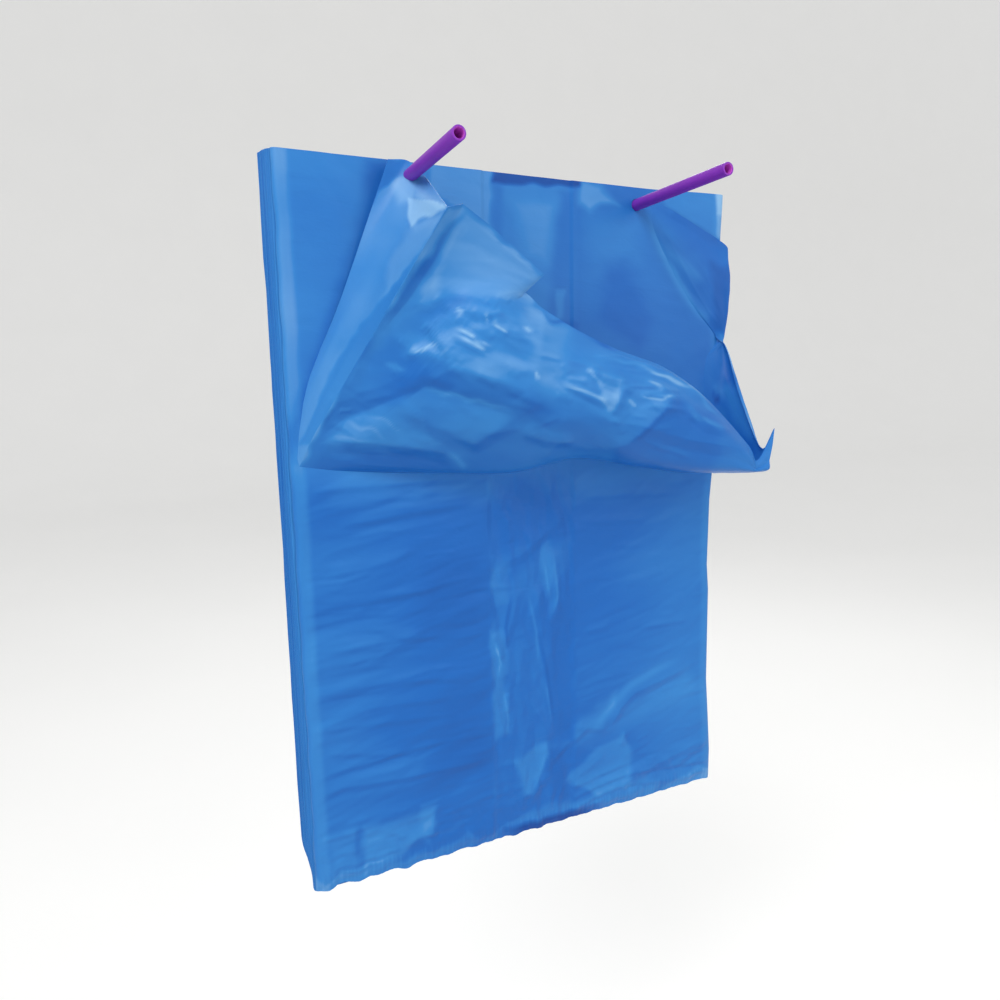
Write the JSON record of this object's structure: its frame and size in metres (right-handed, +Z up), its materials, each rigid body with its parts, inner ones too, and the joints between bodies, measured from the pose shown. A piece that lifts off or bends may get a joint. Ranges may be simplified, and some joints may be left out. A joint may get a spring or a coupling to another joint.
{
  "type": "block of plastic food bags",
  "caption": "Block of blue side-gusseted film food bags hung on hollow tubes, with the front bag's mouth pulled open.",
  "frame": {"origin": "midway between the two tubes, on their axes' level, in the plane of the block's back", "axes": "+Z up towards the bags' mouths, -Y out of the front bag's face, +X to the right as seen from the front"},
  "size_m": [0.2896, 0.0935, 0.4],
  "materials": {
    "film": "thin translucent blue film, semi-gloss, creased",
    "tube": "smooth extruded purple plastic"
  },
  "bodies": {
    "root": {"bag_block": "film", "front_bag": "film", "tube_left": "tube", "tube_right": "tube"}
  },
  "joints": []
}
